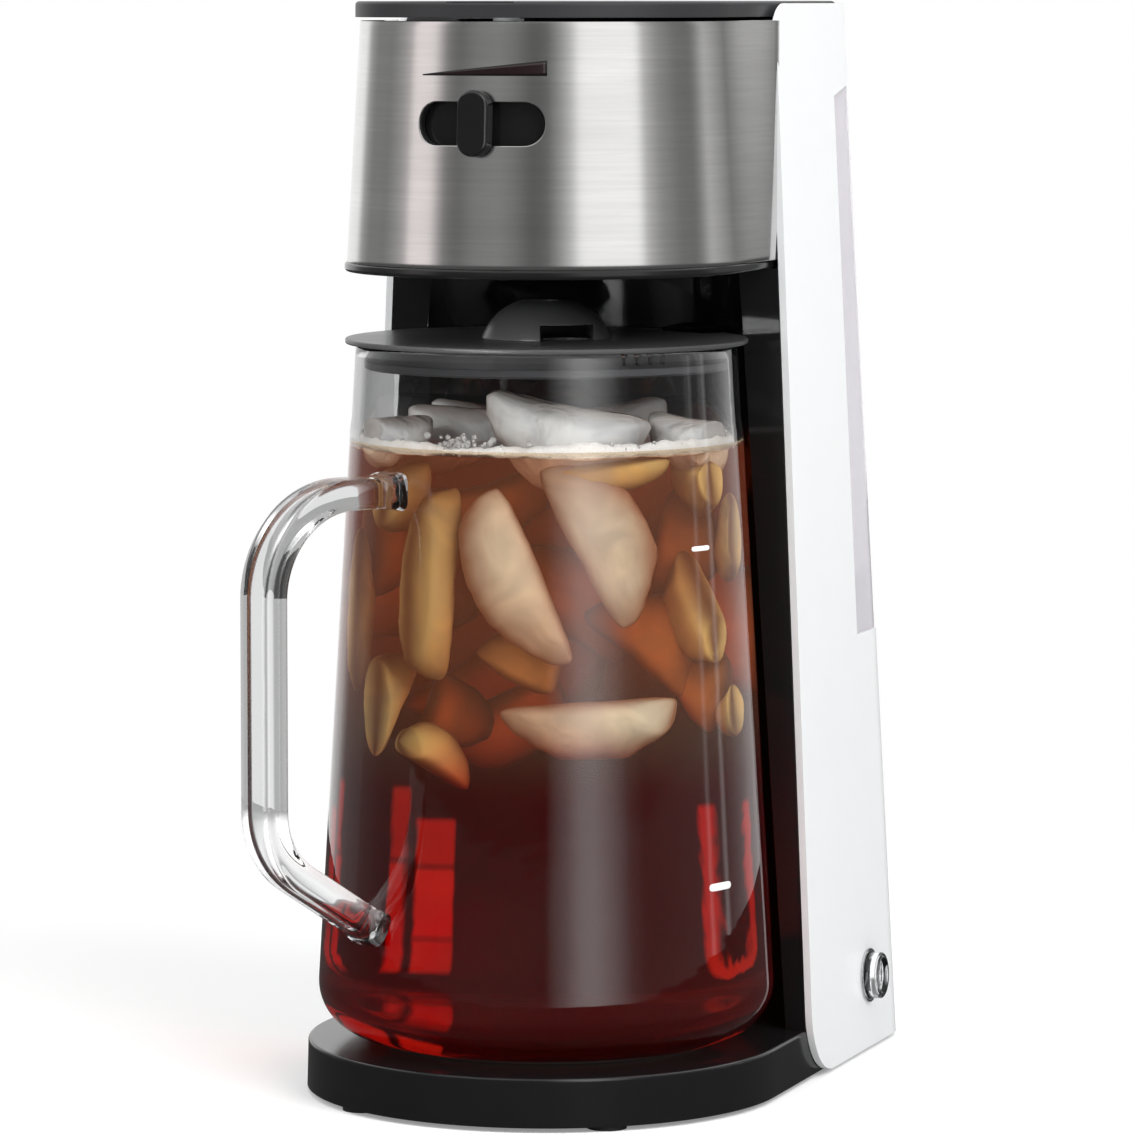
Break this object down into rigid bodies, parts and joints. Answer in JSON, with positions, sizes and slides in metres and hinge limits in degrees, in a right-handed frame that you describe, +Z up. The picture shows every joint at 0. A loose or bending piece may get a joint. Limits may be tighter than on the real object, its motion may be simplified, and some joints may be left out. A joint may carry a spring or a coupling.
{
  "type": "iced tea maker",
  "caption": "Countertop iced tea maker: hinged brew lid over a steel brew head with a strength slider, glass jug with lid on a black base, and a white water column with a level window.",
  "frame": {"origin": "on the common vertical axis of jug, base and brew head, in the plane of the feet", "axes": "+Z up, -Y the front where the jug goes in, +X the user's right, the side with the button"},
  "size_m": [0.1571, 0.2377, 0.3346],
  "materials": {
    "gloss_black": "gloss",
    "satin_black": "satin",
    "charcoal": "gloss",
    "white_shell": "gloss",
    "steel": "brushed",
    "jug_glass": "clear",
    "window_clear": "clear",
    "button_clear": "clear",
    "smoke_clear": "clear",
    "silver_trim": "satin",
    "grey_rubber": "matte",
    "black_rubber": "matte",
    "bright_metal": "satin",
    "zinc_steel": "satin",
    "brass": "satin",
    "silicone": "satin",
    "natural_plastic": "satin",
    "basket_black": "satin",
    "mesh_grey": "satin"
  },
  "bodies": {
    "machine": {"base_shell": "gloss_black", "base_cover": "satin_black", "base_screws": "zinc_steel", "rubber_feet": "black_rubber", "rest_ring": "black_rubber", "outer_shell": "white_shell", "bay_wall": "gloss_black", "inner_chassis": "satin_black", "water_tank": "natural_plastic", "water_window": "window_clear", "steel_band": "steel", "head_housing": "satin_black", "head_plate": "gloss_black", "tea_outlet": "satin_black", "brew_basket": "basket_black", "filter_cup": "mesh_grey", "hinge_bracket": "charcoal", "hinge_pin": "zinc_steel", "tank_strainer": "mesh_grey", "check_valve": "natural_plastic", "feed_hose": "silicone", "heater_tube": "bright_metal", "heater_element": "bright_metal", "heater_bracket": "zinc_steel", "thermostat": "zinc_steel", "thermal_fuses": "brass", "heater_leads": "satin_black", "riser_tube": "silicone", "button_bezel": "silver_trim", "button_spring": "zinc_steel", "switch_body": "satin_black", "indicator_lamp": "smoke_clear", "power_inlet": "satin_black", "inlet_pins": "brass", "terminal_block": "natural_plastic"},
    "brew_lid": {"top_lid": "charcoal", "lid_seal": "grey_rubber"},
    "strength_slider": {"slider_knob": "charcoal", "slider_carriage": "satin_black", "valve_arm": "satin_black"},
    "power_button": {"power_button": "button_clear"},
    "jug": {"glass_jug": "jug_glass", "jug_handle": "jug_glass"},
    "jug_lid": {"jug_lid_plate": "gloss_black", "jug_lid_grip": "charcoal", "jug_lid_collar": "satin_black", "jug_lid_seal": "grey_rubber"},
    "spray_arm": {"spray_arm": "satin_black", "shower_head": "satin_black"}
  },
  "joints": [
    {"name": "brew_lid_hinge", "type": "hinge", "parent": "machine", "child": "brew_lid", "pos_m": [0, 0.11068, 0.3317], "axis": [-1, 0, 0], "range_deg": [0, 95]},
    {"name": "strength_slide", "type": "hinge", "parent": "machine", "child": "strength_slider", "pos_m": [0, 0, 0.2986], "axis": [0, 0, 1], "range_deg": [-15, 15]},
    {"name": "power_button_press", "type": "slide", "parent": "machine", "child": "power_button", "axis": [-0.9991, 0, -0.0427], "range_m": [0, 0.0016], "stiffness_N_per_m": 300, "springref_m": -0.001, "deforming": ["button_spring"]},
    {"name": "jug_slide_out", "type": "slide", "parent": "machine", "child": "jug", "axis": [0, -1, 0], "range_m": [0, 0.16]},
    {"name": "jug_lid_turn", "type": "hinge", "parent": "jug", "child": "jug_lid", "pos_m": [0, 0, 0.2307], "axis": [0, 0, 1], "range_deg": [0, 90]},
    {"name": "spray_arm_swing", "type": "hinge", "parent": "machine", "child": "spray_arm", "pos_m": [-0.0477, 0.06344, 0.3225], "axis": [0, 0, 1], "range_deg": [0, 52]}
  ]
}
